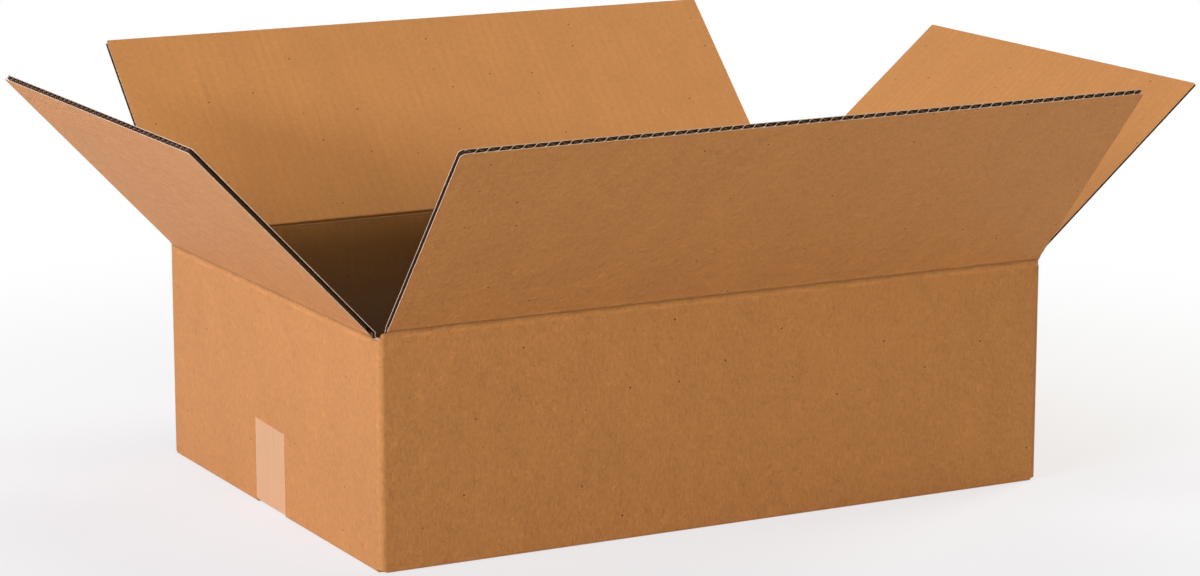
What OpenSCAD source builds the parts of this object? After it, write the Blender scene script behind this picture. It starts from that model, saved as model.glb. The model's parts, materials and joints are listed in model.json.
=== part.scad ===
// Low corrugated carton with its four top flaps standing open and its base flaps shut and taped.
// The long walls run along X, the end walls along Y, and the base stands on Z = 0.

/* [Carton] */
// Clear length between the end walls
inside_l = 508; // [300:1:800]
// Clear width between the long walls
inside_w = 356; // [240:1:500]
// Depth from the floor up to the crease of the long flaps
inside_h = 153; // [90:1:400]

/* [Board] */
// Thickness of the corrugated board
board_t = 4; // [3:0.1:5]
// Thickness of each flat liner
liner_t = 0.4; // [0.25:0.05:0.6]
// Thickness of the waved paper between the liners
medium_t = 0.35; // [0.2:0.05:0.5]
// Distance from one flute to the next
flute_pitch = 8.2; // [6:0.1:10]
// Depth of the glued tip of each wave in its liner
bond_t = 0.08; // [0.05:0.01:0.15]
// Inner radius of the upright corner folds
corner_in_r = 1; // [0.5:0.5:4]
// Outer radius of the folds along the base
base_r = 2; // [1:0.5:2.5]

/* [Flaps] */
// Slack left between two flaps that meet when shut
seam_gap = 3; // [1:0.5:8]
// Cut back of a long flap from the carton's end
long_slot = 3; // [1:0.5:6]
// Cut back of a short flap from the carton's side
short_slot = 8; // [6:0.5:14]
// Radius of a flap's worn free corners
flap_corner_r = 3; // [1:0.5:10]
// Crushed strip along a flap's crease, where its flutes are closed
crush_w = 8; // [6:0.5:15]
// Lean of the front flap, outwards from upright
front_lean = 41.5; // [0:0.5:140]
// Lean of the back flap, outwards from upright
back_lean = 46; // [0:0.5:140]
// Lean of the left flap, outwards from upright
left_lean = 43.5; // [0:0.5:140]
// Lean of the right flap, outwards from upright
right_lean = 50; // [0:0.5:140]

/* [Glued joint] */
// Width of the glue tab inside the right wall
tab_w = 35; // [25:1:50]
// Taper at the top and bottom of the glue tab
tab_taper = 12; // [5:1:20]
// Space between the right wall's raw edge and the tab's fold
tab_setback = 1.5; // [0.5:0.5:5]

/* [Tape] */
// Width of the tape over the base seam
tape_w = 50; // [36:1:75]
// Thickness of the tape
tape_t = 0.1; // [0.05:0.05:0.2]
// Height that the tape climbs on each end wall
tape_climb = 61; // [30:1:80]
// Radius of the tape where it turns up onto an end wall
tape_r = 4; // [3.5:0.5:6]

/* [Clearances] */
// Space from a crease line to the wall below it and to the flap above it
crease_gap = 0.25; // [0.2:0.05:0.5]
// Space between two layers of board that lie on each other
layer_gap = 0.3; // [0.2:0.1:0.6]
// Space at each side of a short flap where it folds into its wall's bevel
side_gap = 1; // [0.5:0.5:2]

/* [Hidden] */

// Kraft board in the light and in the shade, and clear tape over it
kraft_lit = [0.83, 0.59, 0.40];
kraft_shade = [0.67, 0.44, 0.24];
tape_colour = [0.89, 0.69, 0.52];

// Straight stretches that stand for a quarter turn, and for one side of a wave
turn_steps = 5;
wave_steps = 6;
// Overshoot of a cut beyond the face that it opens
over = 1;

outer_l = inside_l + 2 * board_t;
outer_w = inside_w + 2 * board_t;
half_l = outer_l / 2;
half_w = outer_w / 2;
corner_r = corner_in_r + board_t;

// Heights of the layers of the base, and of the two creases, the short flaps' one layer lower
inner_base_z = board_t + layer_gap;
floor_z = inner_base_z + board_t;
long_crease_z = floor_z + inside_h;
short_crease_z = long_crease_z - board_t - layer_gap;

// Flap sizes, where the long pair meets at the middle
flap_len = half_w - seam_gap / 2;
long_x = half_l - long_slot;
joint_x = long_x - board_t;
short_y = half_w - short_slot;
joint_y = half_w - corner_r - tab_setback;
// End of a long base flap, which lies between the end walls
tuck_x = inside_l / 2 - layer_gap;

// The wave of the fluted paper, whose tips sink into the liners by the bond
wave_h = (board_t - 2 * liner_t - medium_t) / 2 + bond_t;
wave_foot = acos(1 - bond_t / wave_h);

function arc(x, y, r, a0, a1) =
    [for (k = [0 : turn_steps]) let (a = a0 + (a1 - a0) * k / turn_steps) [x + r * cos(a), y + r * sin(a)]];

function reversed(points) = [for (k = [len(points) - 1 : -1 : 0]) points[k]];

// One face of the wall sheet in plan, from the right wall's raw edge round to the glue tab's fold
function sheet_face(inset) =
    let (r = corner_r - inset, x = half_l - corner_r, y = half_w - corner_r)
    concat(
        [[half_l - inset, joint_y]],
        arc(x, -y, r, 0, -90),
        arc(-x, -y, r, -90, -180),
        arc(-x, y, r, 180, 90),
        arc(x - board_t, y, r, 90, 0)
    );

// A flap seen face on, from its crease up to its free edge
function flap_outline(x0, x1) =
    let (r = flap_corner_r, top = flap_len - flap_corner_r)
    concat([[x0, crease_gap], [x1, crease_gap]], arc(x1 - r, top, r, 0, 90), arc(x0 + r, top, r, 90, 180));

// The open channel between a liner and one wave of the fluted paper
function channel() =
    [for (k = [0 : wave_steps])
        let (a = wave_foot + (360 - 2 * wave_foot) * k / wave_steps)
        [flute_pitch * (a / 360 - 0.5), board_t / 2 - wave_h * cos(a) - medium_t / 2]];

// Extrudes a [Y, Z] profile along X, from x0 to x1
module along_x(x0, x1) {
    translate([x0, 0, 0])
        rotate([90, 0, 90])
            linear_extrude(x1 - x0)
                children();
}

// Puts a shape made for the front wall on the wall that faces this way
module facing(turn, reach) {
    rotate([0, 0, turn])
        translate([0, -reach, 0])
            children();
}

// Closed channels of the fluted paper, on both sides of it, from the crushed strip to the free edge
module flute_channels(x0, x1) {
    for (i = [floor(x0 / flute_pitch) : ceil(x1 / flute_pitch)]) {
        translate([i * flute_pitch, 0, crush_w])
            linear_extrude(flap_len)
                polygon(channel());
        translate([(i + 0.5) * flute_pitch, board_t, crush_w])
            mirror([0, 1, 0])
                linear_extrude(flap_len)
                    polygon(channel());
    }
}

// A flap standing upright on its crease at the origin, with its outer face on Y = 0
module flap(x0, x1) {
    mitre = board_t + over;
    difference() {
        translate([0, board_t, 0])
            rotate([90, 0, 0])
                linear_extrude(board_t)
                    polygon(flap_outline(x0, x1));
        along_x(x0 - over, x1 + over)
            polygon([[0, crease_gap], [mitre, crease_gap + mitre], [mitre, crease_gap - over]]);
        flute_channels(x0, x1);
    }
}

// A flap hung on its wall's crease and leaning outwards
module hung_flap(turn, reach, crease_z, lean, x0, x1) {
    facing(turn, reach)
        translate([0, 0, crease_z])
            rotate([lean, 0, 0])
                flap(x0, x1);
}

// The bevel inside a wall's top, which leaves room for its flap to fold in
module crease_bevel(crease_z, x0, x1) {
    top = crease_z - crease_gap;
    deep = board_t + over;
    along_x(x0, x1)
        polygon([[0, top], [-over, top], [-over, top + over], [deep, top + over], [deep, top - deep]]);
}

// The rounded fold along the foot of a wall, for the front wall
module base_fold(x0, x1) {
    along_x(x0, x1)
        polygon(concat(arc(base_r, base_r, base_r, 180, 270), [[board_t, 0], [board_t, base_r]]));
}

// A base flap in its layer, for the front wall
module base_flap(layer_z, x0, x1) {
    translate([x0, board_t, layer_z])
        cube([x1 - x0, flap_len - board_t, board_t]);
}

// The glue tab, which continues the back wall and lies inside the right wall
module glue_tab() {
    fold_y = half_w - corner_r;
    end_y = half_w - board_t - tab_w;
    low_z = floor_z + board_t;
    high_z = short_crease_z - 2 * board_t;
    along_x(half_l - 2 * board_t, half_l - board_t)
        polygon([[fold_y, low_z], [fold_y, high_z], [end_y, high_z - tab_taper], [end_y, low_z + tab_taper]]);
}

// Cuts that lower the end walls and the corner slots to the short flaps' crease
module corner_slots() {
    low = short_crease_z - crease_gap;
    high = board_t + 2 * layer_gap + over;
    wide = outer_w + 2 * over;
    deep = corner_r + over;
    translate([-half_l - over, -half_w - over, low])
        cube([long_slot + over, wide, high]);
    translate([long_x, -half_w - over, low])
        cube([long_slot + over, wide / 2, high]);
    translate([joint_x, 0, low])
        cube([long_slot + board_t + over, wide / 2, high]);
    for (x = [-half_l - over, half_l - corner_r])
        translate([x, -inside_w / 2, low])
            cube([deep, inside_w, high]);
}

// The line of the tape's inner face, from the left wall along the base to the right wall
function tape_line(out) =
    let (x = half_l - tape_r, z = tape_t + tape_r, r = tape_r + out)
    concat(arc(-x, z, r, 180, 270), arc(x, z, r, 270, 360));

// The board pressed in under the tape, so that the base stays flat
module tape_seat() {
    side = half_l + over;
    rise = tape_t + tape_r;
    rotate([90, 0, 0])
        linear_extrude(tape_w, center = true)
            polygon(concat(tape_line(0), [[side, rise], [side, -over], [-side, -over], [-side, rise]]));
}

module carton() {
    straight_l = half_l - corner_r;
    straight_w = half_w - corner_r;
    color(kraft_shade)
        difference() {
            union() {
                difference() {
                    translate([0, 0, base_r])
                        linear_extrude(long_crease_z - base_r)
                            polygon(concat(sheet_face(0), reversed(sheet_face(board_t))));
                    corner_slots();
                    facing(0, half_w)
                        crease_bevel(long_crease_z, -half_l, half_l);
                    facing(180, half_w)
                        crease_bevel(long_crease_z, -half_l, half_l);
                    for (turn = [90, 270])
                        facing(turn, half_l)
                            crease_bevel(short_crease_z, -short_y - side_gap, short_y + side_gap);
                }
                glue_tab();
                facing(0, half_w) {
                    base_fold(-straight_l, straight_l);
                    base_flap(0, -tuck_x, tuck_x);
                }
                facing(180, half_w) {
                    base_fold(board_t - straight_l, straight_l);
                    base_flap(0, -joint_x, tuck_x);
                }
                facing(90, half_l)
                    base_fold(-straight_w, joint_y);
                facing(270, half_l)
                    base_fold(-straight_w, straight_w);
                for (turn = [90, 270])
                    facing(turn, half_l)
                        base_flap(inner_base_z, -short_y, short_y);
            }
            tape_seat();
        }
}

module front_flap() {
    color(kraft_shade)
        hung_flap(0, half_w, long_crease_z, front_lean, -long_x, long_x);
}

module back_flap() {
    color(kraft_shade)
        hung_flap(180, half_w, long_crease_z, back_lean, -joint_x, long_x);
}

module left_flap() {
    color(kraft_lit)
        hung_flap(270, half_l, short_crease_z, left_lean, -short_y, short_y);
}

module right_flap() {
    color(kraft_lit)
        hung_flap(90, half_l, short_crease_z, right_lean, -short_y, short_y);
}

module bottom_tape() {
    outer = half_l + tape_t;
    color(tape_colour)
        rotate([90, 0, 0])
            linear_extrude(tape_w, center = true)
                polygon(concat(
                    [[-outer, tape_climb]],
                    tape_line(tape_t),
                    [[outer, tape_climb], [half_l, tape_climb]],
                    reversed(tape_line(0)),
                    [[-half_l, tape_climb]]
                ));
}

carton();
front_flap();
back_flap();
left_flap();
right_flap();
bottom_tape();
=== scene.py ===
import json
import math

import bmesh
import bpy
from mathutils import Matrix, Vector, noise


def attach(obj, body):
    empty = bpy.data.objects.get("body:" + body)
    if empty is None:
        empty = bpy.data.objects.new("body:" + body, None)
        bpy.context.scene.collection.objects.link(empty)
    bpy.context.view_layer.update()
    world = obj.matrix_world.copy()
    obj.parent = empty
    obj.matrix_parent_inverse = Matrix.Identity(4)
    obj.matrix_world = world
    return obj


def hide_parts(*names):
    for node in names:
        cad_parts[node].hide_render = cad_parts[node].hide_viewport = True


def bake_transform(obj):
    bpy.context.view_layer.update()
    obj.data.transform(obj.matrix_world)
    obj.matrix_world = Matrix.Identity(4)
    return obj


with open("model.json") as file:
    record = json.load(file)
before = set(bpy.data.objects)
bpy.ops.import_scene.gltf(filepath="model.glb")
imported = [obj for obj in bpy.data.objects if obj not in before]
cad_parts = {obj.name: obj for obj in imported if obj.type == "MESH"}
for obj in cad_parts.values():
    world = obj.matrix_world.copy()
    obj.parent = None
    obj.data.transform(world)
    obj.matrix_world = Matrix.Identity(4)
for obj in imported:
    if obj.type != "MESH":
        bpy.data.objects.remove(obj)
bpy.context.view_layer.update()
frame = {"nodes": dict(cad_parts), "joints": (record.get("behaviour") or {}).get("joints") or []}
print("frame loaded:", ", ".join(sorted(frame["nodes"])))

scene = bpy.context.scene
scene.view_settings.view_transform = "Standard"

# corrugated board, in metres
board = {
    "thick": 0.004,
    "liner": 0.0004,        # flat paper on each face
    "medium": 0.00055,      # waved paper between them
    "pitch": 0.0082,        # from one flute to the next
    "bond": 0.00008,        # wave tips sink into the liners
    "washboard": 0.00004,   # liner sinks between two bonds
    "waveSteps": 10,
    "linerSteps": 6,
    "paintedShadeBelow": -0.15,         # a wave's cut keeps the pale cut colour where its sine is above this, and takes painted shade below
}
outside = {"long": 0.258, "wide": 0.182}        # half the outside length and width of the carton


# node helpers

def mathNode(tree, operation, *values):
    node = tree.nodes.new("ShaderNodeMath")
    node.operation = operation
    for socket, value in zip(node.inputs, values):
        if isinstance(value, (int, float)):
            socket.default_value = value
        else:
            tree.links.new(value, socket)
    return node.outputs[0]


def mapRange(tree, value, low, high, toLow=0.0, toHigh=1.0):
    node = tree.nodes.new("ShaderNodeMapRange")
    node.interpolation_type = "SMOOTHSTEP"
    for socket, number in zip(node.inputs[1:5], (low, high, toLow, toHigh)):
        socket.default_value = number
    tree.links.new(value, node.inputs[0])
    return node.outputs[0]


def mapped(tree, vector, scale, shift=(0.0, 0.0, 0.0), turn=0.0):
    node = tree.nodes.new("ShaderNodeMapping")
    node.inputs["Scale"].default_value = scale
    node.inputs["Location"].default_value = shift
    node.inputs["Rotation"].default_value = (0.0, 0.0, turn)
    tree.links.new(vector, node.inputs["Vector"])
    return node.outputs["Vector"]


def noiseNode(tree, vector, detail=2.0, rough=0.5, twist=0.0):
    node = tree.nodes.new("ShaderNodeTexNoise")
    node.noise_dimensions = "2D"
    node.inputs["Scale"].default_value = 1.0
    node.inputs["Detail"].default_value = detail
    node.inputs["Roughness"].default_value = rough
    node.inputs["Distortion"].default_value = twist
    tree.links.new(vector, node.inputs["Vector"])
    return node.outputs["Fac"]


def cellNode(tree, vector):
    node = tree.nodes.new("ShaderNodeTexVoronoi")
    node.voronoi_dimensions = "2D"
    node.inputs["Scale"].default_value = 1.0
    tree.links.new(vector, node.inputs["Vector"])
    split = tree.nodes.new("ShaderNodeSeparateColor")
    tree.links.new(node.outputs["Color"], split.inputs["Color"])
    return node.outputs["Distance"], split.outputs["Red"]


def around(tree, value, size):
    # turns a 0..1 pattern into a change of +-size/2 about nothing
    return mathNode(tree, "MULTIPLY", mathNode(tree, "SUBTRACT", value, 0.5), size)


def awayFrom(tree, value, centre):
    return mathNode(tree, "ABSOLUTE", mathNode(tree, "SUBTRACT", value, centre))


def total(tree, values):
    out = values[0]
    for value in values[1:]:
        out = mathNode(tree, "ADD", out, value)
    return out


def newMaterial(name):
    material = bpy.data.materials.new(name)
    material.use_nodes = True
    tree = material.node_tree
    tree.nodes.clear()
    output = tree.nodes.new("ShaderNodeOutputMaterial")
    shader = tree.nodes.new("ShaderNodeBsdfPrincipled")
    tree.links.new(shader.outputs["BSDF"], output.inputs["Surface"])
    return material, tree, shader


def sheetCoords(tree):
    node = tree.nodes.new("ShaderNodeUVMap")
    node.uv_map = "sheet"
    split = tree.nodes.new("ShaderNodeSeparateXYZ")
    tree.links.new(node.outputs["UV"], split.inputs["Vector"])
    return node.outputs["UV"], split.outputs["X"], split.outputs["Y"]


def tinted(tree, colour, factor):
    # the paper's colour times a grey factor
    node = tree.nodes.new("ShaderNodeVectorMath")
    node.operation = "SCALE"
    if isinstance(colour, tuple):
        node.inputs[0].default_value = colour
    else:
        tree.links.new(colour, node.inputs[0])
    tree.links.new(factor, node.inputs["Scale"])
    return node.outputs["Vector"]


def addBump(tree, shader, heights, strength, distance):
    bump = tree.nodes.new("ShaderNodeBump")
    bump.inputs["Strength"].default_value = strength
    bump.inputs["Distance"].default_value = distance
    tree.links.new(total(tree, heights), bump.inputs["Height"])
    tree.links.new(bump.outputs["Normal"], shader.inputs["Normal"])


# kraft liner: flecks, fibres, clouds, streaks along the flutes and dark specks, with painted shade over the
# flutes, in the scored creases and inside the body, and a painted highlight below the creases
kraftFace = {
    # in each face, score sets the painted shade in the crease's valley, and washboard the painted shade over
    # the flutes
    "outer": {
        "colour": (0.530, 0.226, 0.058), "mottle": 0.10, "grain": 0.06, "fibre": 1.1, "relief": 0.0005,
        "streak": 0.03, "washboard": 0.004, "score": 0.30, "rough": 0.60, "seed": 0.0,
    },
    "inner": {
        "mottle": 0.07, "grain": 0.06, "fibre": 0.5, "relief": 0.00006,
        "streak": 0.07, "washboard": 0.020, "score": 0.45, "rough": 0.64, "seed": 7.3,
        "paintedShadeStops": (         # painted shade inside the body, from the base up to the crease: lightest on the base, darkest partway up the walls; then the inner liner's colour on the flaps
            (0.0, (0.40, 0.195, 0.062)), (0.25, (0.33, 0.170, 0.057)), (0.55, (0.158, 0.083, 0.032)),
            (0.75, (0.188, 0.103, 0.037)), (0.90, (0.29, 0.164, 0.057)), (0.985, (0.42, 0.236, 0.082)),
            (1.0, (0.640, 0.274, 0.068)),
        ),
    },
}
kraftNoise = {              # repeats per metre across and along the flutes, and a shift that keeps each apart
    "fleck": {"scale": (340, 260), "shift": 3.1, "detail": 3.0, "rough": 0.6},
    "grain": {"scale": (1200, 1000), "shift": 8.4, "detail": 3.0, "rough": 0.65},
    "fibreA": {"scale": (1300, 190), "shift": 1.7, "turn": 0.5},
    "fibreB": {"scale": (1300, 190), "shift": 5.2, "turn": -1.0},
    "cloud": {"scale": (26, 15), "shift": 2.2, "detail": 3.0, "rough": 0.55},
    "streak": {"scale": (240, 7), "shift": 4.4},
    "cockle": {"scale": (75, 140), "shift": 7.7},
    "ragged": {"scale": (55, 200), "shift": 0.4, "detail": 3.0, "rough": 0.6},
    "darkCurl": {"scale": (120, 150), "shift": 1.3, "detail": 1.0, "twist": 1.2},
    "darkPatch": {"scale": (90, 90), "shift": 3.3, "detail": 1.0},
    "paleCurl": {"scale": (120, 150), "shift": 5.9, "detail": 1.0, "twist": 1.2},
    "palePatch": {"scale": (90, 90), "shift": 7.9, "detail": 1.0},
}
kraftMarks = {
    "fibre": 0.05,          # how far fibres and clouds change the paper's shade
    "cloud": 0.13,
    "specks": (
        {"scale": 25, "radius": 0.028, "share": 0.50, "depth": 0.85},       # large and rare
        {"scale": 120, "radius": 0.06, "share": 0.40, "depth": 0.30},       # small and many
    ),
    "speckTall": 1.15,
    "speckShift": 6.6,
    "halo": 0.07,           # faint pale ring round a speck
    "dark": -0.085,         # shade of the dark and the pale curled fibres
    "pale": 0.09,
    "hair": {"scale": (330, 105), "shift": 9.1, "turn": 0.9, "share": 0.20, "shade": 0.13},
    "scoreRagged": 0.0026,  # how far the score wanders
    # painted shade and grime in the crease's valley; below it a pale line, part rubbed wear, part painted
    # highlight on the ridge
    "scoreValleyShade": {"height": 0.0005, "core": 0.0005, "reach": 0.0024},
    "scoreWearAndHighlight": {"height": -0.0034, "core": 0.0004, "reach": 0.0018, "shade": 0.13},
    "paintedShadeRange": (-0.20, 0.0015),          # heights on the sheet that the painted shade runs between
    "specular": 0.24,
    "roughGrain": 0.16,
    "heights": {"fleck": 0.7, "grain": 0.25, "fibreA": 0.25, "fibreB": 0.25, "cockle": 1.8},
}


def kraftPatterns(tree, uv, seed):
    made = {}
    for kind, look in kraftNoise.items():
        spot = mapped(tree, uv, (*look["scale"], 1), (seed, look["shift"], 0), look.get("turn", 0.0))
        detail, rough, twist = look.get("detail", 2.0), look.get("rough", 0.5), look.get("twist", 0.0)
        made[kind] = noiseNode(tree, spot, detail, rough, twist)
    return made


def withSpecks(tree, paper, uv, seed):
    marks = kraftMarks
    for speck in marks["specks"]:
        scale, radius = speck["scale"], speck["radius"]
        spot = mapped(tree, uv, (scale, scale * marks["speckTall"], 1), (seed, marks["speckShift"], 0))
        distance, chance = cellNode(tree, spot)
        core = mapRange(tree, distance, radius * 0.4, radius, speck["depth"], 0.0)
        halo = mapRange(tree, distance, radius * 0.9, radius * 2.2, marks["halo"], 0.0)
        kept = mapRange(tree, chance, speck["share"] * 0.4, speck["share"], 1.0, 0.0)
        mark = mathNode(tree, "MULTIPLY", mathNode(tree, "SUBTRACT", core, halo), kept)
        paper = mathNode(tree, "MULTIPLY", paper, mathNode(tree, "SUBTRACT", 1.0, mark))
    return paper


def withFibres(tree, paper, uv, noises, look):
    marks, hair = kraftMarks, kraftMarks["hair"]
    for tone in ("dark", "pale"):           # curled fibres, in patches
        away = awayFrom(tree, noises[tone + "Curl"], 0.5)
        thin = mapRange(tree, away, 0.015, 0.050, marks[tone] * look["fibre"], 0.0)
        patch = mapRange(tree, noises[tone + "Patch"], 0.50, 0.62)
        paper = mathNode(tree, "ADD", paper, mathNode(tree, "MULTIPLY", thin, patch))
    # short pale hairs
    spot = mapped(tree, uv, (*hair["scale"], 1), (look["seed"], hair["shift"], 0), hair["turn"])
    distance, chance = cellNode(tree, spot)
    strand = mapRange(tree, distance, 0.05, 0.16, 1.0, 0.0)
    strand = mathNode(tree, "MULTIPLY", strand, mathNode(tree, "LESS_THAN", chance, hair["share"]))
    return mathNode(tree, "ADD", paper, mathNode(tree, "MULTIPLY", strand, hair["shade"] * look["fibre"]))


def withScore(tree, paper, along, ragged, look):
    # along the crease: a dark line of painted shade and grime in the valley, and below it a broken pale line
    # that is partly rubbed wear and partly a painted highlight on the ridge
    dark, pale = kraftMarks["scoreValleyShade"], kraftMarks["scoreWearAndHighlight"]
    level = mathNode(tree, "ADD", along, around(tree, ragged, kraftMarks["scoreRagged"]))
    away = awayFrom(tree, level, dark["height"])
    valleyShade = mapRange(tree, away, dark["core"], dark["reach"], look["score"], 0.0)
    away = awayFrom(tree, level, pale["height"])
    ridgeWearAndHighlight = mapRange(tree, away, pale["core"], pale["reach"], pale["shade"], 0.0)
    ridgeWearAndHighlight = mathNode(tree, "MULTIPLY", ridgeWearAndHighlight, mapRange(tree, ragged, 0.36, 0.60))
    paper = mathNode(tree, "MULTIPLY", paper, mathNode(tree, "SUBTRACT", 1.0, valleyShade))
    return mathNode(tree, "ADD", paper, ridgeWearAndHighlight)


def insideShadeColour(tree, along, paintedShadeStops):
    # painted shade: the liner inside the body is darkened by its height on the sheet, most partway up the
    # walls, and keeps its colour on the flaps
    depth = tree.nodes.new("ShaderNodeMapRange")
    depth.inputs["From Min"].default_value, depth.inputs["From Max"].default_value = kraftMarks["paintedShadeRange"]
    tree.links.new(along, depth.inputs["Value"])
    ramp = tree.nodes.new("ShaderNodeValToRGB")
    tree.links.new(depth.outputs["Result"], ramp.inputs["Fac"])
    stops = ramp.color_ramp.elements
    while len(stops) < len(paintedShadeStops):
        stops.new(0.5)
    for stop, (place, colour) in zip(stops, paintedShadeStops):
        stop.position = place
        stop.color = (*colour, 1)
    return ramp.outputs["Color"]


def kraftMaterial(name, look):
    material, tree, shader = newMaterial(name)
    uv, across, along = sheetCoords(tree)
    marks, noises = kraftMarks, kraftPatterns(tree, uv, look["seed"])
    # painted shade in faint stripes over the flutes, where the washboard dips and rises, patchy with the
    # clouds
    flute = mathNode(tree, "SINE", mathNode(tree, "MULTIPLY", across, 2 * math.pi / board["pitch"]))
    washboardShade = mapRange(tree, noises["cloud"], 0.35, 0.62, 0.0, look["washboard"])
    shades = [
        around(tree, mapRange(tree, noises["fleck"], 0.28, 0.72), look["mottle"]),
        around(tree, noises["grain"], look["grain"]),
        around(tree, mapRange(tree, noises["fibreA"], 0.3, 0.7), marks["fibre"] * look["fibre"]),
        around(tree, mapRange(tree, noises["fibreB"], 0.3, 0.7), marks["fibre"] * look["fibre"]),
        around(tree, noises["cloud"], marks["cloud"]),
        around(tree, noises["streak"], look["streak"]),
        mathNode(tree, "MULTIPLY", flute, washboardShade),
    ]
    paper = mathNode(tree, "ADD", total(tree, shades), 1.0)
    paper = withSpecks(tree, paper, uv, look["seed"])
    paper = withFibres(tree, paper, uv, noises, look)
    paper = withScore(tree, paper, along, noises["ragged"], look)
    colour = look["colour"] if "colour" in look else insideShadeColour(tree, along, look["paintedShadeStops"])
    tree.links.new(tinted(tree, colour, paper), shader.inputs["Base Color"])
    shader.inputs["Specular IOR Level"].default_value = marks["specular"]
    roughness = mathNode(tree, "ADD", around(tree, noises["grain"], marks["roughGrain"]), look["rough"])
    tree.links.new(roughness, shader.inputs["Roughness"])
    heights = [around(tree, noises[kind], size) for kind, size in marks["heights"].items()]
    addBump(tree, shader, heights, 1.0, look["relief"])
    return material


# raw cut of the paper, paler and fuzzy, and a near-black painted shade for the waved paper, the hollows
# between the liners and the opened pockets
rawPaper = {
    "cut": {"colour": (0.80, 0.59, 0.37), "rough": 0.85, "spread": 0.45},
    "flute": {"colour": (0.10, 0.045, 0.018), "rough": 0.80, "spread": 0.24},
}
rawGrain = {"fuzz": 900, "patch": 70, "patchShift": (4.0, 2.0, 0)}          # repeats per metre


def rawMaterial(name, look):
    material, tree, shader = newMaterial(name)
    uv = sheetCoords(tree)[0]
    fuzz = noiseNode(tree, mapped(tree, uv, (rawGrain["fuzz"], rawGrain["fuzz"], 1)), 3.0, 0.65)
    patchSpot = mapped(tree, uv, (rawGrain["patch"], rawGrain["patch"], 1), rawGrain["patchShift"])
    patch = noiseNode(tree, patchSpot, 2.0, 0.5)
    shades = [around(tree, fuzz, look["spread"]), around(tree, patch, look["spread"])]
    paper = mathNode(tree, "ADD", total(tree, shades), 1.0)
    tree.links.new(tinted(tree, look["colour"], paper), shader.inputs["Base Color"])
    shader.inputs["Roughness"].default_value = look["rough"]
    return material


outerLiner = kraftMaterial("kraftOuterLiner", kraftFace["outer"])
innerLiner = kraftMaterial("kraftInnerLiner", kraftFace["inner"])
cutPaper = rawMaterial("kraftCutEdge", rawPaper["cut"])
flutePaper = rawMaterial("kraftFlutingShade", rawPaper["flute"])
boardMaterials = [outerLiner, innerLiner, cutPaper, flutePaper]
onOuter, onInner, onCut, onFluteShade = range(4)
print("papers mixed")


# mesh helpers

def finished(bm, name, materials, smoothUnder=28):
    mesh = bpy.data.meshes.new(name)
    bm.to_mesh(mesh)
    bm.free()
    for material in materials:
        mesh.materials.append(material)
    for polygon in mesh.polygons:
        polygon.use_smooth = True
    mesh.set_sharp_from_angle(angle=math.radians(smoothUnder))
    piece = bpy.data.objects.new(name, mesh)
    scene.collection.objects.link(piece)
    return piece


def addTo(bm, other):
    spare = bpy.data.meshes.new("spare")
    other.to_mesh(spare)
    other.free()
    bm.from_mesh(spare)
    bpy.data.meshes.remove(spare)


def wholeOf(bm):
    return bm.verts[:] + bm.edges[:] + bm.faces[:]


def paintSheet(bm, place):
    # place(face, corner) gives a corner's spot on the flat sheet, in metres
    layer = bm.loops.layers.uv.get("sheet") or bm.loops.layers.uv.new("sheet")
    for face in bm.faces:
        for loop in face.loops:
            loop[layer].uv = place(face, loop.vert.co)


def upright(bm, x0, x1, z0, z1, columns, rows):
    # a grid that stands on XZ
    bmesh.ops.create_grid(bm, x_segments=columns, y_segments=rows, size=0.5)
    middle = Matrix.Translation(((x0 + x1) / 2, 0, (z0 + z1) / 2))
    stand = Matrix.Rotation(math.radians(90), 4, "X")
    bmesh.ops.transform(bm, verts=bm.verts, matrix=middle @ stand @ Matrix.Diagonal((x1 - x0, z1 - z0, 1, 1)))


def fluteTurn(x):
    return 2 * math.pi * x / board["pitch"]


def middleY(bm):
    low = min(vert.co.y for vert in bm.verts)
    high = max(vert.co.y for vert in bm.verts)
    return (low + high) / 2


def waveRibbon(x0, x1, z0, z1, rows=3, paintedShadeBelow=board["paintedShadeBelow"]):
    # the waved paper, between Y = 0 and the board's thickness
    bm = bmesh.new()
    columns = max(4, round((x1 - x0) / board["pitch"] * board["waveSteps"]))
    upright(bm, x0, x1, z0, z1, columns, rows)
    height = (board["thick"] - 2 * board["liner"] - board["medium"]) / 2 + board["bond"]
    for vert in bm.verts:
        vert.co.y = board["thick"] / 2 - height * math.cos(fluteTurn(vert.co.x))
    bmesh.ops.solidify(bm, geom=bm.faces[:], thickness=board["medium"])
    bmesh.ops.translate(bm, verts=bm.verts, vec=(0, board["thick"] / 2 - middleY(bm), 0))
    bmesh.ops.recalc_face_normals(bm, faces=bm.faces)
    for face in bm.faces:           # painted shade: one flank of each wave's cut keeps the pale cut colour, the other flank and the rest of the waved paper take the flutes' painted shade
        paleFlank = math.sin(fluteTurn(face.calc_center_median().x)) > paintedShadeBelow
        face.material_index = onCut if paleFlank and abs(face.normal.z) > 0.8 else onFluteShade
    return bm


def roundCorner(bm, x, z, radius, side):
    # trims a free corner to a round with a fan of cuts that touch it
    cuts = 6
    centre = Vector((x - side * radius, 0, z - radius))
    for k in range(1, cuts):
        turn = math.radians(90) * k / cuts
        normal = Vector((side * math.cos(turn), 0, math.sin(turn)))
        bmesh.ops.bisect_plane(bm, geom=wholeOf(bm), plane_co=centre + normal * radius, plane_no=normal,
                               clear_outer=True)


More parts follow.
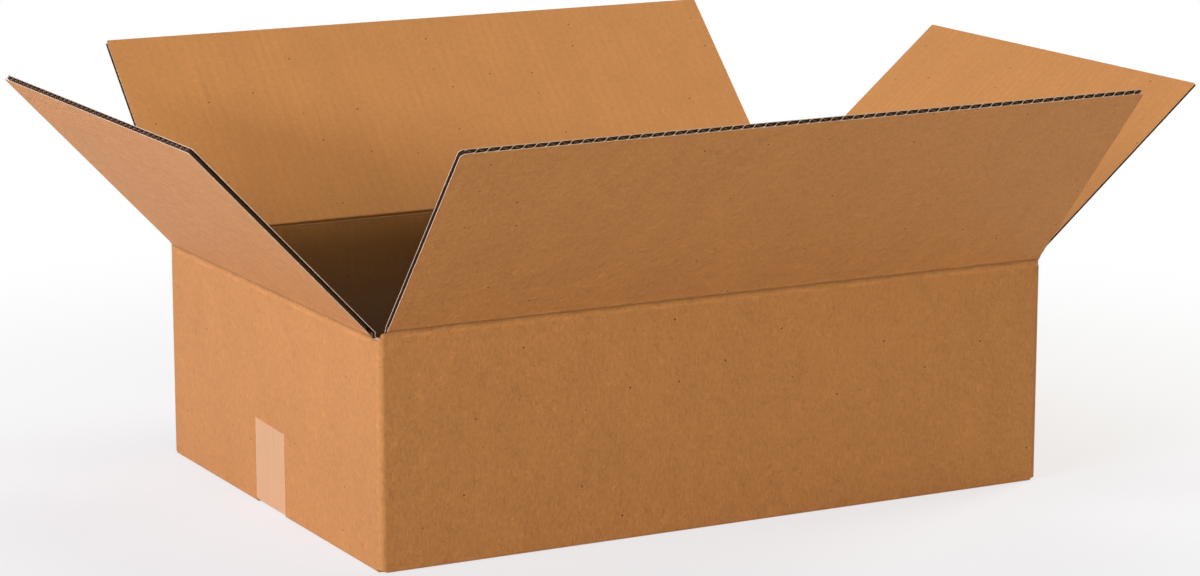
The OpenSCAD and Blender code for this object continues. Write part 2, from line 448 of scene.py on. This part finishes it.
def linerSheet(x0, x1, z0, z1, inner, corners):
    # one liner of a flap: flat on the outside but for the faint washboard over the flutes
    bm = bmesh.new()
    columns = round((x1 - x0) / board["pitch"] * board["linerSteps"])
    upright(bm, x0, x1, z0, z1, columns, 2)
    for side, x, radius in ((-1, x0, corners[0]), (1, x1, corners[1])):
        roundCorner(bm, x, z1, radius, side)
    faceUp = 1 if inner else -1
    for face in bm.faces:
        if face.normal.y * faceUp < 0:
            face.normal_flip()
    bmesh.ops.solidify(bm, geom=bm.faces[:], thickness=board["liner"])
    top = max(vert.co.y * faceUp for vert in bm.verts)
    for vert in bm.verts:
        sink = board["washboard"] * (1 - faceUp * -math.cos(fluteTurn(vert.co.x))) / 2
        level = vert.co.y * faceUp - top - sink
        vert.co.y = board["thick"] + level if inner else -level
    bmesh.ops.recalc_face_normals(bm, faces=bm.faces)
    for face in bm.faces:
        if abs(face.normal.y) < 0.5:
            face.material_index = onCut
        elif face.normal.y * faceUp > 0:
            face.material_index = onInner if inner else onOuter
        else:
            face.material_index = onFluteShade
    return bm


# the four sides of the carton: a side's own frame has its crease along X and its outer face on Y = 0
# lean is in degrees out from upright, sheet is a side's place on the flat sheet, corners are radii
sides = {
    "front": {
        "turn": 0, "lean": 41.5, "x0": -0.255, "x1": 0.255, "sheet": 0.0, "corners": (0.0035, 0.0015),
        "taper": 0.004,         # its left slot is cut askew
    },
    "right": {
        "turn": 90, "lean": 50.0, "x0": -0.174, "x1": 0.174, "sheet": 0.440, "corners": (0.0015, 0.0015),
        "pinched": True,        # its front edge is crushed
    },
    "back": {
        "turn": 180, "lean": 46.0, "x0": -0.251, "x1": 0.255, "sheet": 0.880, "corners": (0.0015, 0.0015),
    },
    "left": {
        "turn": 270, "lean": 43.5, "x0": -0.174, "x1": 0.174, "sheet": -0.440, "corners": (0.0015, 0.0015),
        "paintedShadeBelow": 0.85,          # more of its cut edge gets painted shade
    },
}
joints = {joint["name"]: joint for joint in frame["joints"]}
for name, side in sides.items():
    side["pos"] = Vector(joints[name + "_crease"]["pos_m"])
    side["stand"] = Matrix.Translation(side["pos"]) @ Matrix.Rotation(math.radians(side["turn"]), 4, "Z")

flapCut = {
    "length": 0.1805,       # crease to free edge
    "foot": 0.00025,        # outer liner starts just above the crease
    "fluteFoot": 0.0055,    # flutes are crushed below this
    "setback": 0.00004,     # waved paper is cut a hair short of the liners
    "openSide": 0.0035,     # depth of the open channel along a side edge
    "pinch": 0.62,          # share of the thickness lost at a crushed side edge
    "pinchReach": 0.009,
    "pinchStart": 0.6,      # the crush starts this far up from the crease, in shares of its reach
    "pinchRun": 0.5,        # and is full after this much more
    "taperReach": 0.03,     # a side cut askew moves the board in to here
}


def pinchSide(bm, side):
    # the die has crushed this side edge thin, but not at the crease
    reach, start, run = flapCut["pinchReach"], flapCut["pinchStart"], flapCut["pinchRun"]
    for k in (start, start + run / 2, start + run):
        bmesh.ops.bisect_plane(bm, geom=wholeOf(bm), plane_co=(0, 0, k * reach), plane_no=(0, 0, 1))
    for vert in bm.verts:
        share = max(0.0, 1 - (vert.co.x - side["x0"]) / reach)
        clear = min(1.0, max(0.0, (vert.co.z / reach - start) / run))
        ease = share * share * (3 - 2 * share)
        vert.co.y += (board["thick"] - vert.co.y) * flapCut["pinch"] * clear * ease


def makeFlap(name, side):
    cut, x0, x1 = flapCut, side["x0"], side["x1"]
    bm = linerSheet(x0, x1, cut["foot"], cut["length"], False, side["corners"])
    addTo(bm, linerSheet(x0, x1, cut["foot"] + board["thick"], cut["length"], True, side["corners"]))
    addTo(bm, waveRibbon(x0 + cut["openSide"], x1 - cut["openSide"], cut["fluteFoot"],
                         cut["length"] - cut["setback"], paintedShadeBelow=side.get("paintedShadeBelow", board["paintedShadeBelow"])))
    for vert in bm.verts:           # a slot cut a little askew takes the side in towards its foot
        share = max(0.0, 1 - (vert.co.x - x0) / cut["taperReach"])
        vert.co.x += side.get("taper", 0.0) * share * (1 - vert.co.z / cut["length"])
    paintSheet(bm, lambda face, co: (co.x + side["sheet"], co.z))
    if side.get("pinched"):
        pinchSide(bm, side)
    lean = Matrix.Rotation(math.radians(side["lean"]), 4, "X")
    bmesh.ops.transform(bm, verts=bm.verts, matrix=side["stand"] @ lean)
    piece = finished(bm, name + "_flap_board", boardMaterials)
    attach(piece, name + "_flap")
    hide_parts(name + "_flap")


for name, side in sides.items():
    makeFlap(name, side)
print("flaps cut")

# scored crease: a pressed valley between two soft ridges outside, a narrow groove in the liner inside
score = {
    "reach": 0.0045,        # how far the ridges run on wall and flap
    "ridge": 0.00026,       # height of a ridge
    "under": 0.00018,       # the strip's wings lie this deep in the board
    "core": 0.0024,         # the crushed flutes fill the fold to this depth
    "dip": 0.0006,          # and are hollow by this in the middle
    "ridgeSteps": 7,
    "coreSteps": 10,
    "bend": 0.0010,         # how far a bend would spread to each side, outside
    "groove": (0.0013, 0.0013),         # inner groove: half its width, and its depth
    "shortGroove": (0.0025, 0.0020),    # deeper under the ends of the long flaps
    "skinSteps": 6,
    "step": 0.003,          # length of one stretch along the crease
    "wobble": 0.9,          # share of a ridge that comes and goes along it
    "wobbleScale": 95,      # how often, per metre
    "wobbleSeed": {"wall": 3.0, "flap": 9.0},
}


def foldPoints(lean):
    # spots on the wall and on the flap in a side's own YZ: distance from the crease, height off the face
    slope = math.radians(lean)

    def wall(down, out):
        return Vector((0, -out, -down))

    def flap(up, out):
        y = -out * math.cos(slope) - up * math.sin(slope)
        return Vector((0, y, -out * math.sin(slope) + up * math.cos(slope)))

    middle = Vector((0, -math.sin(slope / 2), math.cos(slope / 2)))
    return wall, flap, middle


def ridgeHeight(s):
    return score["ridge"] * math.sin(math.pi * s / score["reach"]) ** 2


def outerProfile(lean):
    # over both ridges outside, back along the strip's wings, round the crushed core
    wall, flap = foldPoints(lean)[:2]
    steps, foot, under, core = score["ridgeSteps"], flapCut["foot"], score["under"], score["core"]
    spread = [score["reach"] * k / steps for k in range(steps + 1)]
    line = [wall(s, ridgeHeight(s)) for s in reversed(spread)]
    line += [flap(s, ridgeHeight(s)) for s in spread[1:]]
    line += [flap(score["reach"], -under), flap(foot + under, -under)]
    top, low = flap(foot + core, -core), wall(foot + core, -core)
    for k in range(score["coreSteps"] + 1):
        share = k / score["coreSteps"]
        spot = top.lerp(low, share)
        line.append(spot - spot.normalized() * score["dip"] * math.sin(math.pi * share) ** 2)
    return line + [wall(foot + under, -under), wall(score["reach"], -under)]


def innerProfile(lean, groove):
    # down the flap's inner face, over the groove where the two faces meet, down the wall's inner face
    wall, flap = foldPoints(lean)[:2]
    thick, steps = board["thick"], score["skinSteps"]
    wide, deep = groove
    meet = thick * math.tan(math.radians(lean) / 2)
    run = flapCut["foot"] + thick + meet
    spread = [wide + (run - wide) * k / steps for k in range(steps, 0, -1)]
    spread += [wide * k / steps for k in range(steps, -1, -1)]
    depth = [deep * math.cos(math.pi / 2 * min(1, s / wide)) ** 2 for s in spread]
    press = wall(-meet, -thick).normalized()
    pairs = list(zip(spread, depth))
    line = [flap(s - meet, -thick) - press * d for s, d in pairs]
    return line + [wall(s - meet, -thick) - press * d for s, d in reversed(pairs[:-1])]


def creaseStart(side):
    return Vector((side["x0"] + side.get("taper", 0.0), 0, 0))


def alongCrease(bm, ends, side):
    # pulls a profile along the crease and cuts it into short stretches
    if isinstance(ends[0], bmesh.types.BMFace):
        made = bmesh.ops.extrude_face_region(bm, geom=ends)
    else:
        made = bmesh.ops.extrude_edge_only(bm, edges=ends)
    moved = [item for item in made["geom"] if isinstance(item, bmesh.types.BMVert)]
    length = side["x1"] - creaseStart(side).x
    bmesh.ops.translate(bm, verts=moved, vec=(length, 0, 0))
    runs = [edge for edge in bm.edges if abs(edge.verts[0].co.x - edge.verts[1].co.x) > length / 2]
    bmesh.ops.subdivide_edges(bm, edges=runs, cuts=round(length / score["step"]) - 1)


def foldSheet(bm, side, middle):
    stretch = 1 / math.cos(math.radians(side["lean"]) / 2)
    paintSheet(bm, lambda face, co: (co.x + side["sheet"], (co.y * middle.y + co.z * middle.z) * stretch))


def bendWith(piece):
    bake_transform(piece)


def makeOuterCrease(name, side):
    wall, flap, middle = foldPoints(side["lean"])
    bm = bmesh.new()
    ring = [bm.verts.new(creaseStart(side) + spot) for spot in outerProfile(side["lean"])]
    alongCrease(bm, [bm.faces.new(ring)], side)
    bmesh.ops.recalc_face_normals(bm, faces=bm.faces)
    outFlap, outWall = flap(0, 1), wall(0, 1)
    for vert in bm.verts:           # the ridges rise and fall along the crease
        spot = Vector((0, vert.co.y, vert.co.z))
        half = "wall" if spot.dot(middle) < 0 else "flap"
        out = outWall if half == "wall" else outFlap
        proud = spot.dot(out)
        if proud > 1e-6:
            draw = Vector((vert.co.x * score["wobbleScale"], score["wobbleSeed"][half], side["turn"]))
            vert.co += out * proud * score["wobble"] * noise.noise(draw)
    # faces that do not face out take the flutes' painted shade
    for face in bm.faces:
        outward = face.normal.dot(outWall + outFlap) > 0.1
        face.material_index = onOuter if outward and abs(face.normal.x) < 0.8 else onFluteShade
    foldSheet(bm, side, middle)
    bmesh.ops.transform(bm, verts=bm.verts, matrix=side["stand"])
    piece = finished(bm, name + "_crease_outer", boardMaterials, smoothUnder=40)
    bendWith(piece)


def makeInnerCrease(name, side):
    wall, flap, middle = foldPoints(side["lean"])
    bm = bmesh.new()
    groove = score["shortGroove" if side["turn"] % 180 else "groove"]
    spots = [bm.verts.new(creaseStart(side) + spot) for spot in innerProfile(side["lean"], groove)]
    alongCrease(bm, [bm.edges.new(pair) for pair in zip(spots, spots[1:])], side)
    bmesh.ops.recalc_face_normals(bm, faces=bm.faces)
    inward = -(wall(0, 1) + flap(0, 1))
    if sum(face.normal.dot(inward) for face in bm.faces) < 0:
        bmesh.ops.reverse_faces(bm, faces=bm.faces)
    bmesh.ops.solidify(bm, geom=bm.faces[:], thickness=board["liner"])
    bmesh.ops.recalc_face_normals(bm, faces=bm.faces)
    for face in bm.faces:
        if abs(face.normal.x) > 0.8:
            face.material_index = onCut
        else:
            face.material_index = onInner if face.normal.dot(inward) > 0 else onFluteShade
    foldSheet(bm, side, middle)
    bmesh.ops.transform(bm, verts=bm.verts, matrix=side["stand"])
    spread = -wall(flapCut["foot"] + board["thick"], -board["thick"]).dot(middle)
    piece = finished(bm, name + "_crease_inner", boardMaterials, smoothUnder=50)
    bendWith(piece)


for name, side in sides.items():
    makeOuterCrease(name, side)
    makeInnerCrease(name, side)
print("creases scored")

# walls, folds and base, from the CAD sheet, with its raw edges opened
wallCut = {
    "linerRim": 0.0004,         # liner left standing round an opened edge
    "fluteDepth": 0.012,        # how far the flutes of a base flap are open
    "channelDepth": 0.004,      # an edge cut along the flutes shows one open channel
    "floorLow": 0.0043,         # underside of the inner base flaps
    "floorTop": 0.0083,
    "seam": 0.0015,             # half the gap between the outer base flaps
    "innerEnd": 0.0775,         # free edges of the inner base flaps
    "innerSide": 0.174,
    "jointY": 0.1755,           # raw edge of the right wall at the glue joint
    "slotZ": 0.15675,           # bottom of the corner slots
    "slotSide": 0.255,          # sides of the corner slots
    "skin": 0.0035,             # faces this near the outside take the outer liner
    "waveGap": 0.0003,          # the waved paper stops this short of the mouth
    "tabEdge": {"z": 0.0125, "x": 0.249, "y": (0.175, 0.1775)},     # where the foot of the glue tab starts
    "tabFoot": {"z": 0.0087, "y": 0.177, "slope": 0.459},           # where it goes, sloping from its fold
}


def near(value, target, slack=0.00015):
    return abs(value - target) < slack


def sheetSpot(face, co):
    # where a corner lies on the flat sheet, by the way its face looks
    normal = face.normal
    # flat faces lie far below the crease on the sheet, so inside the body they take the lowest stop of the
    # painted shade
    if abs(normal.z) > 0.7:
        if near(co.z, wallCut["floorTop"], 0.0005) or near(co.z, wallCut["floorLow"], 0.0002):
            return co.y + 2.0, co.x - 2.0
        return co.x + 3.0, co.y - 3.0
    if abs(normal.y) >= abs(normal.x):
        name = "front" if co.y < 0 else "back"
        along = co.x if co.y < 0 else -co.x
    else:
        name = "left" if co.x < 0 else "right"
        along = co.y if co.x > 0 else -co.y
    return along + sides[name]["sheet"], co.z - sides[name]["pos"].z


def rawEdge(face):
    # "flutes" for a cut across the flutes, "channel" for one along them
    centre, normal, cut = face.calc_center_median(), face.normal, wallCut
    if abs(normal.x) > 0.9 and near(abs(centre.x), cut["innerEnd"]) and centre.z < cut["floorTop"]:
        return "flutes"
    if abs(normal.y) > 0.9 and near(abs(centre.y), cut["seam"]) and centre.z < board["thick"]:
        return "flutes"
    if abs(normal.y) > 0.9 and near(abs(centre.y), cut["innerSide"]) and centre.z < cut["floorTop"]:
        return "channel"
    if normal.y > 0.9 and near(centre.y, cut["jointY"]):
        return "channel"
    return None


def lowerTab(bm):
    # the glue tab's foot comes down to the base, so no light shows at the joint
    edge, foot = wallCut["tabEdge"], wallCut["tabFoot"]
    low, high = edge["y"]
    for vert in bm.verts:
        if near(vert.co.z, edge["z"], 0.0005) and vert.co.x > edge["x"] and low < vert.co.y < high:
            vert.co.z = foot["z"] + (foot["y"] - vert.co.y) * foot["slope"]


def cartonFace(face):
    # which paper a face of the folded sheet shows
    centre, normal, cut = face.calc_center_median(), face.normal, wallCut
    outward = normal.x * centre.x > 0 if abs(normal.x) > abs(normal.y) else normal.y * centre.y > 0
    atSide = abs(centre.x) > outside["long"] - cut["skin"] or abs(centre.y) > outside["wide"] - cut["skin"]
    under = normal.z < -0.7 and centre.z < 0.0005
    if under or (abs(normal.z) < 0.99 and outward and atSide and normal.z <= 0.01):
        return onOuter
    if normal.z > 0.9 and centre.z > cut["slotZ"] - 0.001:
        return onCut
    if abs(normal.x) > 0.9 and near(abs(centre.x), cut["slotSide"], 0.005) and centre.z > cut["slotZ"]:
        return onCut
    return onInner


def roundRims(bm):
    # the knife has rounded the top liner where the inner base flaps end
    def onRim(vert):
        return near(abs(vert.co.x), wallCut["innerEnd"]) and near(vert.co.z, wallCut["floorTop"])

    rims = [edge for edge in bm.edges if all(onRim(vert) for vert in edge.verts)]
    made = bmesh.ops.bevel(bm, geom=rims, offset=wallCut["linerRim"], offset_type="OFFSET", affect="EDGES",
                           segments=1, profile=0.5, material=-1)
    for face in made["faces"]:
        face.material_index = onCut


def openEdges(bm):
    # insets a rim of liner in each raw edge, then pushes the rest in; the pockets take the flutes' painted
    # shade
    rim, opened = wallCut["linerRim"], {"flutes": [], "channel": []}
    for face in bm.faces:
        kind = rawEdge(face)
        if kind:
            opened[kind].append(face)
    print("raw edges:", {kind: len(faces) for kind, faces in opened.items()})
    for kind, depth in (("flutes", wallCut["fluteDepth"]), ("channel", wallCut["channelDepth"])):
        for face in opened[kind]:
            face.material_index = onFluteShade
        made = bmesh.ops.inset_individual(bm, faces=opened[kind], thickness=rim, use_even_offset=True)
        for face in made["faces"]:
            face.material_index = onCut
        made = bmesh.ops.inset_individual(bm, faces=opened[kind], thickness=0.0, depth=-depth,
                                          use_even_offset=True)
        for face in made["faces"]:
            face.material_index = onFluteShade


def fillFlutes(bm):
    # waved paper in the open ends of the inner base flaps
    cut = wallCut
    wide = cut["innerSide"] - cut["linerRim"] * 2
    for end in (-1, 1):
        ribbon = waveRibbon(-wide, wide, 0, cut["fluteDepth"] - cut["waveGap"], rows=1)
        spot = Matrix.Translation((end * (cut["innerEnd"] + cut["fluteDepth"]), 0, cut["floorLow"]))
        turn = Matrix.Rotation(math.radians(90 * end), 4, "Z") @ Matrix.Rotation(math.radians(90), 4, "X")
        bmesh.ops.transform(ribbon, verts=ribbon.verts, matrix=spot @ turn)
        paintSheet(ribbon, lambda face, co: (co.y, co.z + co.x))
        addTo(bm, ribbon)


def makeCarton():
    bm = bmesh.new()
    bm.from_mesh(frame["nodes"]["carton"].data)
    bmesh.ops.remove_doubles(bm, verts=bm.verts, dist=1e-6)
    bmesh.ops.dissolve_limit(bm, angle_limit=math.radians(0.4), verts=bm.verts, edges=bm.edges)
    lowerTab(bm)
    for face in bm.faces:
        face.material_index = cartonFace(face)
    roundRims(bm)
    paintSheet(bm, sheetSpot)
    openEdges(bm)
    fillFlutes(bm)
    piece = finished(bm, "carton_board", boardMaterials, smoothUnder=30)
    weighted = piece.modifiers.new("flatFaces", "WEIGHTED_NORMAL")
    weighted.keep_sharp = True
    weighted.weight = 100
    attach(piece, "box")
    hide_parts("carton")


makeCarton()
print("carton folded")

# clear parcel tape over the base seam and up both ends
tape = {
    "half": 0.025,          # half its width
    "thick": 0.0001,
    "turn": 0.004,          # radius where it turns up
    "climb": 0.061,         # height of its ends
    "skew": 0.0008,         # its torn ends run a little off square
    "teeth": 0.00025,       # height of the cutter's teeth
    "columns": 40,
    "turnSteps": 8,
    "heart": (0, 0, 0.08),  # a spot inside the carton, which its faces look away from
}
# its film: paler and glossier than the kraft below, with rolled streaks and a painted highlight along both
# sides
tapeFilm = {
    "colour": (0.635, 0.328, 0.122),
    "rough": 0.30,
    "roughStreak": 0.12,
    "cloud": {"scale": (60, 30, 1), "shade": 0.12},
    "fleck": {"scale": (600, 480, 1), "shade": 0.06},
    "streak": {"scale": (420, 4, 1), "shade": 0.07},
    # painted highlight at the sides of the film
    "side": {"from": 0.0014, "to": 0.0004, "shade": 0.14},
    "relief": 0.00008,
}


def tapeMaterial(name, look):
    material, tree, shader = newMaterial(name)
    uv, across = sheetCoords(tree)[:2]
    cloud = noiseNode(tree, mapped(tree, uv, look["cloud"]["scale"]), 3.0, 0.6)
    fleck = noiseNode(tree, mapped(tree, uv, look["fleck"]["scale"]), 2.0, 0.55)
    streak = noiseNode(tree, mapped(tree, uv, look["streak"]["scale"], (3.0, 1.0, 0)), 2.0, 0.5)
    side, half = look["side"], tape["half"]
    # painted highlight along both sides of the film
    rim = mapRange(tree, mathNode(tree, "ABSOLUTE", across), half - side["from"], half - side["to"])
    shades = [
        around(tree, cloud, look["cloud"]["shade"]),
        around(tree, fleck, look["fleck"]["shade"]),
        around(tree, streak, look["streak"]["shade"]),
        mathNode(tree, "MULTIPLY", rim, side["shade"]),
    ]
    film = mathNode(tree, "ADD", total(tree, shades), 1.0)
    tree.links.new(tinted(tree, look["colour"], film), shader.inputs["Base Color"])
    roughness = mathNode(tree, "ADD", around(tree, streak, look["roughStreak"]), look["rough"])
    tree.links.new(roughness, shader.inputs["Roughness"])
    addBump(tree, shader, [streak, cloud], 0.25, look["relief"])
    return material


def makeTape():
    half = outside["long"]
    bm = bmesh.new()
    start = bm.verts.new((-half, 0, tape["climb"]))

    def run(vert, to):
        made = bmesh.ops.extrude_vert_indiv(bm, verts=[vert])
        made["verts"][0].co = Vector(to)
        return made["verts"][0]

    def bend(vert, centre, angle):
        made = bmesh.ops.spin(bm, geom=[vert], cent=centre, axis=(0, 1, 0), dvec=(0, 0, 0),
                              angle=math.radians(angle), steps=tape["turnSteps"], use_merge=False)
        return [item for item in made["geom_last"] if isinstance(item, bmesh.types.BMVert)][0]

    level = tape["thick"]
    last = run(start, (-half, 0, level + tape["turn"]))
    last = bend(last, (-half + tape["turn"], 0, level + tape["turn"]), -90)
    last = run(last, (half - tape["turn"], 0, level))
    last = bend(last, (half - tape["turn"], 0, level + tape["turn"]), -90)
    run(last, (half, 0, tape["climb"]))
    made = bmesh.ops.extrude_edge_only(bm, edges=bm.edges[:])
    moved = [item for item in made["geom"] if isinstance(item, bmesh.types.BMVert)]
    bmesh.ops.translate(bm, verts=bm.verts, vec=(0, -tape["half"], 0))
    bmesh.ops.translate(bm, verts=moved, vec=(0, 2 * tape["half"], 0))
    across = [edge for edge in bm.edges if abs(edge.verts[0].co.y - edge.verts[1].co.y) > tape["half"]]
    bmesh.ops.subdivide_edges(bm, edges=across, cuts=tape["columns"] - 1)
    for vert in bm.verts:
        if vert.co.z > tape["climb"] - 1e-5:        # torn ends
            column = round((vert.co.y + tape["half"]) / (2 * tape["half"]) * tape["columns"])
            skew = tape["skew"] * vert.co.y / tape["half"]
            vert.co.z -= tape["skew"] - skew + tape["teeth"] * (column % 2)
    bmesh.ops.recalc_face_normals(bm, faces=bm.faces)
    for face in bm.faces:
        if face.normal.dot(face.calc_center_median() - Vector(tape["heart"])) < 0:
            face.normal_flip()
    bmesh.ops.solidify(bm, geom=bm.faces[:], thickness=-tape["thick"])
    bmesh.ops.recalc_face_normals(bm, faces=bm.faces)
    paintSheet(bm, lambda face, co: (co.y, co.z + (co.x if abs(face.normal.z) > 0.7 else 0)))
    piece = finished(bm, "base_tape", [tapeMaterial("parcelTape", tapeFilm)], smoothUnder=40)
    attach(piece, "box")
    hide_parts("bottom_tape")


makeTape()
print("tape pressed on")

# floor, light and camera
studio = {
    "floorHalf": 30,
    "floorDrop": 0.0002,    # the floor lies a hair below the carton
    "floorColour": (0.88, 0.88, 0.88),
    "floorMottle": 0.01,
    "floorRough": 0.9,
    "floorSpecular": 0.1,
    "floorGlow": 0.04,
    "floorFade": (0.36, 0.95),          # from here to here the floor goes to plain white
    "floorWhite": 0.66,     # share of plain white right beside the carton
    "ambient": 0.02,
    "lampAim": (0, 0, 0.12),
    "lamps": {
        "sideSoftbox": {
            "spot": (-3.4, -0.8, 0.98), "size": (2.4, 0.45), "power": 104, "tint": (0.96, 0.99, 1.36)},
        "frontSoftbox": {
            "spot": (-1.0, -2.95, 1.08), "size": (2.0, 0.30), "power": 25, "tint": (1.0, 0.98, 0.84)},
        "overSoftbox": {
            "spot": (0.4, 0.8, 2.2), "size": (1.6, 0.8), "power": 15.5, "tint": (1.0, 1.0, 0.96)},
        "backSoftbox": {
            "spot": (0.6, 3.2, 0.7), "size": (1.6, 0.8), "power": 14, "tint": (1.0, 1.0, 1.0)},
        "rightBackSoftbox": {
            "spot": (2.3, 0.5, 1.5), "size": (1.0, 1.0), "power": 34, "tint": (1.0, 1.0, 0.98)},
    },
}


def seenDirectly(tree):
    # 1 for the camera and for anything seen in a mirror or through glass
    path = tree.nodes.new("ShaderNodeLightPath")
    mirrored = mathNode(tree, "MAXIMUM", path.outputs["Is Glossy Ray"], path.outputs["Is Transmission Ray"])
    return mathNode(tree, "MAXIMUM", path.outputs["Is Camera Ray"], mirrored)


def makeFloor():
    bm = bmesh.new()
    bmesh.ops.create_grid(bm, x_segments=1, y_segments=1, size=studio["floorHalf"])
    bmesh.ops.translate(bm, verts=bm.verts, vec=(0, 0, -studio["floorDrop"]))
    material, tree, shader = newMaterial("studioFloor")
    coords = tree.nodes.new("ShaderNodeTexCoord")
    faint = noiseNode(tree, mapped(tree, coords.outputs["Object"], (3, 3, 3)), 2.0, 0.5)
    shade = mathNode(tree, "ADD", around(tree, faint, studio["floorMottle"]), 1.0)
    tree.links.new(tinted(tree, studio["floorColour"], shade), shader.inputs["Base Color"])
    shader.inputs["Roughness"].default_value = studio["floorRough"]
    shader.inputs["Specular IOR Level"].default_value = studio["floorSpecular"]
    # white paper sweep: the lit floor with its shadow near the carton, plain white further out
    glow = tree.nodes.new("ShaderNodeEmission")
    glow.inputs["Strength"].default_value = studio["floorGlow"]
    white = tree.nodes.new("ShaderNodeEmission")
    white.inputs["Strength"].default_value = 1.0
    lit = tree.nodes.new("ShaderNodeAddShader")
    sweep = tree.nodes.new("ShaderNodeMixShader")
    tree.links.new(shader.outputs["BSDF"], lit.inputs[0])
    tree.links.new(glow.outputs["Emission"], lit.inputs[1])
    distance = tree.nodes.new("ShaderNodeVectorMath")
    distance.operation = "LENGTH"
    tree.links.new(coords.outputs["Object"], distance.inputs[0])
    fade = mapRange(tree, distance.outputs["Value"], *studio["floorFade"], studio["floorWhite"])
    tree.links.new(fade, sweep.inputs["Fac"])
    tree.links.new(lit.outputs["Shader"], sweep.inputs[1])
    tree.links.new(white.outputs["Emission"], sweep.inputs[2])
    seen = tree.nodes.new("ShaderNodeMixShader")
    tree.links.new(seenDirectly(tree), seen.inputs["Fac"])
    tree.links.new(lit.outputs["Shader"], seen.inputs[1])
    tree.links.new(sweep.outputs["Shader"], seen.inputs[2])
    tree.links.new(seen.outputs["Shader"], tree.nodes["Material Output"].inputs["Surface"])
    finished(bm, "studio_floor", [material])


def makeLamps():
    for name, lamp in studio["lamps"].items():
        light = bpy.data.lights.new(name, "AREA")
        light.shape = "RECTANGLE"
        light.size, light.size_y = lamp["size"]
        light.energy = lamp["power"]
        light.color = lamp["tint"]
        holder = bpy.data.objects.new(name, light)
        holder.location = lamp["spot"]
        aim = Vector(studio["lampAim"]) - Vector(lamp["spot"])
        holder.rotation_euler = aim.to_track_quat("-Z", "Y").to_euler()
        scene.collection.objects.link(holder)


def makeWorld():
    world = bpy.data.worlds.new("studioAir")
    scene.world = world
    world.use_nodes = True
    tree = world.node_tree
    tree.nodes.clear()
    output = tree.nodes.new("ShaderNodeOutputWorld")
    seen = tree.nodes.new("ShaderNodeBackground")
    seen.inputs["Color"].default_value = (1, 1, 1, 1)
    air = tree.nodes.new("ShaderNodeBackground")
    air.inputs["Color"].default_value = (1, 1, 1, 1)
    air.inputs["Strength"].default_value = studio["ambient"]
    mix = tree.nodes.new("ShaderNodeMixShader")
    tree.links.new(seenDirectly(tree), mix.inputs["Fac"])
    tree.links.new(air.outputs["Background"], mix.inputs[1])
    tree.links.new(seen.outputs["Background"], mix.inputs[2])
    tree.links.new(mix.outputs["Shader"], output.inputs["Surface"])


view = {
    "azimuth": -27.917,     # degrees from straight in front, to the left
    "elevation": 11.925,
    "distance": 2.6928,
    "aim": (0, -0.0014, 0.1322),
    "lens": 112.3,
    "sensor": 36,
}


def makeCamera():
    data = bpy.data.cameras.new("photoView")
    data.sensor_width = view["sensor"]
    data.lens = view["lens"]
    data.clip_end = 100
    turn, rise = math.radians(view["azimuth"]), math.radians(view["elevation"])
    back = Vector((math.sin(turn) * math.cos(rise), -math.cos(turn) * math.cos(rise), math.sin(rise)))
    camera = bpy.data.objects.new("photoView", data)
    camera.location = Vector(view["aim"]) + back * view["distance"]
    camera.rotation_euler = back.to_track_quat("Z", "Y").to_euler()
    scene.collection.objects.link(camera)
    scene.camera = camera


makeFloor()
makeLamps()
makeWorld()
makeCamera()
print("studio set")
